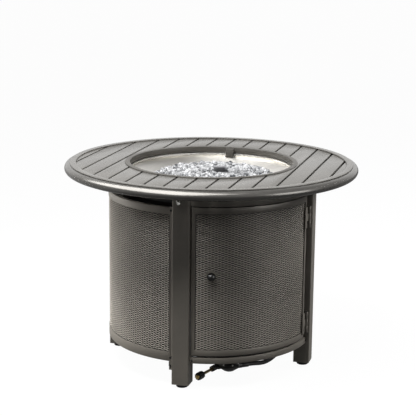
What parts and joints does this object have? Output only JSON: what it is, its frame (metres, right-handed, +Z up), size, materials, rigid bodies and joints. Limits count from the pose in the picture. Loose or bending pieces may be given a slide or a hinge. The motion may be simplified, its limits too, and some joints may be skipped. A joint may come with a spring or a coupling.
{
  "type": "round gas fire pit table",
  "caption": "Round plank-topped gas fire pit table on square legs, with a mesh-panelled drum, a hinged door, a burner pan of fire glass and a gas hose with regulator.",
  "frame": {"origin": "on the floor at the centre of the table", "axes": "+Z up; the front leg is on -Y and the right leg, which carries the door hinges, on +X; the door faces between -Y and +X"},
  "size_m": [0.9139, 0.914, 0.635],
  "materials": {
    "bronze_paint": "satin dark bronze powder coat",
    "top_paint": "satin bronze powder coat, worn lighter on the planks",
    "rim_paint": "gloss dark bronze powder coat",
    "mesh_paint": "satin dark bronze powder coat on expanded mesh",
    "black_steel": "matt black",
    "stainless": "brushed stainless sheet",
    "hood_steel": "heat-darkened mesh",
    "zinc": "bright zinc plate",
    "brass": "turned brass",
    "black_plastic": "moulded black plastic",
    "gloss_black": "glossy black plastic",
    "red_plastic": "red push button",
    "foot_plastic": "moulded black foot",
    "hose_rubber": "smooth black rubber hose",
    "regulator_paint": "grey-black enamelled die casting",
    "ceramic": "white glazed ceramic sleeve",
    "fire_glass": "tumbled clear and grey fire glass"
  },
  "bodies": {
    "table": {"top_rim": "rim_paint", "top_border": "top_paint", "top_planks": "top_paint", "top_collar": "bronze_paint", "top_spokes": "bronze_paint", "support_ring": "black_steel", "leg_front": "bronze_paint", "leg_right": "bronze_paint", "leg_back": "bronze_paint", "leg_left": "bronze_paint", "leg_plugs": "black_plastic", "wing_screws": "zinc", "panel_brackets": "black_steel", "panel_screws": "black_steel", "panel_frame_front_left": "bronze_paint", "panel_mesh_front_left": "mesh_paint", "panel_frame_back_left": "bronze_paint", "panel_mesh_back_left": "mesh_paint", "panel_frame_back_right": "bronze_paint", "panel_mesh_back_right": "mesh_paint", "door_header": "bronze_paint", "door_sill": "bronze_paint", "door_stop": "black_steel", "hinge_leg_leaves": "bronze_paint", "hinge_pins": "black_steel", "catch_magnet": "black_plastic", "burner_pan": "stainless", "pan_clip": "bronze_paint", "burner_ring": "stainless", "gas_mixer": "brass", "gas_elbow": "brass", "fire_glass": "fire_glass", "pilot_bracket": "stainless", "pilot_hood": "hood_steel", "pilot_thermocouple": "stainless", "spark_electrode": "ceramic", "control_plate": "black_steel", "gas_valve": "brass", "igniter_body": "black_plastic", "burner_gas_line": "stainless", "spark_lead": "hose_rubber", "gas_hose": "hose_rubber", "hose_ferrules": "black_steel", "regulator_body": "regulator_paint", "regulator_stem": "brass"},
    "door": {"door_frame": "bronze_paint", "door_mesh": "mesh_paint", "door_knob": "gloss_black", "knob_rose": "bronze_paint", "knob_screw": "zinc", "hinge_door_leaves": "bronze_paint", "catch_strike": "zinc"},
    "valve_stem": {"valve_stem": "brass"},
    "valve_knob": {"valve_knob": "black_plastic"},
    "igniter_button": {"igniter_button": "red_plastic"},
    "foot_front": {"foot_front": "foot_plastic"},
    "foot_right": {"foot_right": "foot_plastic"},
    "foot_back": {"foot_back": "foot_plastic"},
    "foot_left": {"foot_left": "foot_plastic"},
    "handwheel": {"regulator_handwheel": "black_plastic"}
  },
  "joints": [
    {"name": "door_hinge", "type": "hinge", "parent": "table", "child": "door", "pos_m": [0.3226, -0.0375, 0.33], "axis": [0, 0, 1], "range_deg": [0, 110]},
    {"name": "valve_push", "type": "slide", "parent": "table", "child": "valve_stem", "axis": [-0.7071, -0.7071, 0], "range_m": [0, 0.003], "stiffness_N_per_m": 800},
    {"name": "valve_turn", "type": "hinge", "parent": "valve_stem", "child": "valve_knob", "pos_m": [0.2588, 0.20789, 0.498], "axis": [0.7071, 0.7071, 0], "range_deg": [0, 180]},
    {"name": "igniter_press", "type": "slide", "parent": "table", "child": "igniter_button", "axis": [-0.7071, -0.7071, 0], "range_m": [0, 0.004], "stiffness_N_per_m": 600},
    {"name": "foot_front_level", "type": "slide", "parent": "table", "child": "foot_front", "axis": [0, 0, -1], "range_m": [0, 0.01]},
    {"name": "foot_right_level", "type": "slide", "parent": "table", "child": "foot_right", "axis": [0, 0, -1], "range_m": [0, 0.01]},
    {"name": "foot_back_level", "type": "slide", "parent": "table", "child": "foot_back", "axis": [0, 0, -1], "range_m": [0, 0.01]},
    {"name": "foot_left_level", "type": "slide", "parent": "table", "child": "foot_left", "axis": [0, 0, -1], "range_m": [0, 0.01]},
    {"name": "handwheel_turn", "type": "hinge", "parent": "table", "child": "handwheel", "pos_m": [0.036, -0.236, 0.0126], "axis": [0.2723, 0.9622, 0], "continuous": true}
  ]
}
